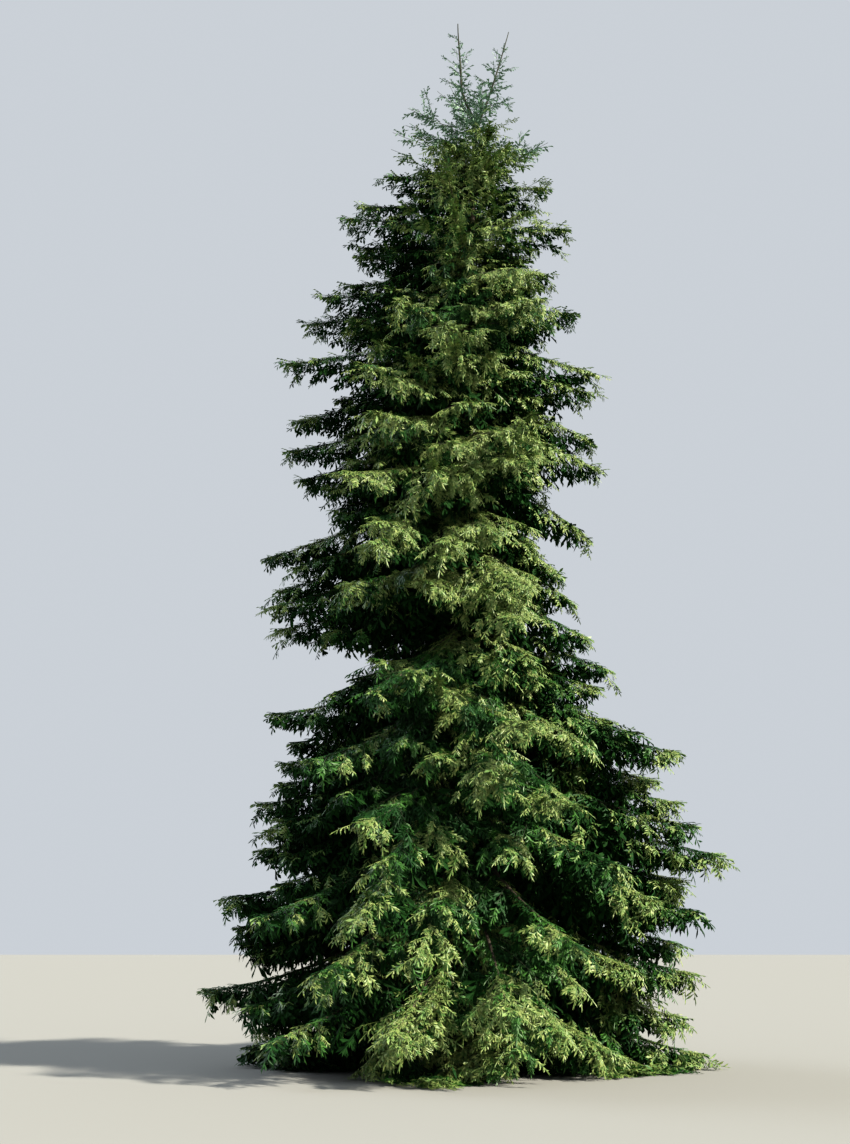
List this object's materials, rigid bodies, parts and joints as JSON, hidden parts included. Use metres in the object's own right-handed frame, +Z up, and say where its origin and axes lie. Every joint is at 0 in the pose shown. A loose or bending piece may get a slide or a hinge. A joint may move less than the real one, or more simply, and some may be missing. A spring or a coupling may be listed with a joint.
{
  "type": "douglas fir tree",
  "caption": "Tall narrow conifer with a straight trunk, a forked top and sweeping boughs of short flat needles down to the ground.",
  "frame": {"origin": "the middle of the flat cut under the trunk, at ground level", "axes": "+Z up along the trunk, -Y towards the side that the picture shows, +X to the right in that view"},
  "size_m": [5.9242, 5.6705, 13],
  "materials": {
    "bark": "rough furrowed bark, grey-brown",
    "needles": "matt to faintly waxy needles, yellow-green where new, dark blue-green where old or shaded"
  },
  "bodies": {
    "root": {"trunk": "bark", "second_leader": "bark", "bough_1_right": "bark", "foliage_1_right": "needles", "bough_1_back": "bark", "foliage_1_back": "needles", "bough_1_left": "bark", "foliage_1_left": "needles", "bough_1_front": "bark", "foliage_1_front": "needles", "bough_2_right": "bark", "foliage_2_right": "needles", "bough_2_back": "bark", "foliage_2_back": "needles", "bough_2_left": "bark", "foliage_2_left": "needles", "bough_2_front": "bark", "foliage_2_front": "needles", "foliage_3_right": "needles", "foliage_3_back": "needles", "foliage_3_left": "needles", "foliage_3_front": "needles", "foliage_4_right": "needles", "foliage_4_back": "needles", "foliage_4_left": "needles", "foliage_4_front": "needles", "foliage_5_right": "needles", "foliage_5_back": "needles", "foliage_5_left": "needles", "foliage_5_front": "needles", "foliage_6_right": "needles", "foliage_6_back": "needles", "foliage_6_left": "needles", "foliage_6_front": "needles", "foliage_7_right": "needles", "foliage_7_back": "needles", "foliage_7_left": "needles", "foliage_7_front": "needles", "foliage_8_right": "needles", "foliage_8_back": "needles", "foliage_8_left": "needles", "foliage_8_front": "needles", "foliage_9_right": "needles", "foliage_9_back": "needles", "foliage_9_left": "needles", "foliage_9_front": "needles", "foliage_10_right": "needles", "foliage_10_back": "needles", "foliage_10_left": "needles", "foliage_10_front": "needles", "foliage_11_right": "needles", "foliage_11_back": "needles", "foliage_11_left": "needles", "foliage_11_front": "needles", "foliage_12_right": "needles", "foliage_12_back": "needles", "foliage_12_left": "needles", "foliage_12_front": "needles", "foliage_first_leader": "needles", "foliage_second_leader": "needles"}
  },
  "joints": []
}
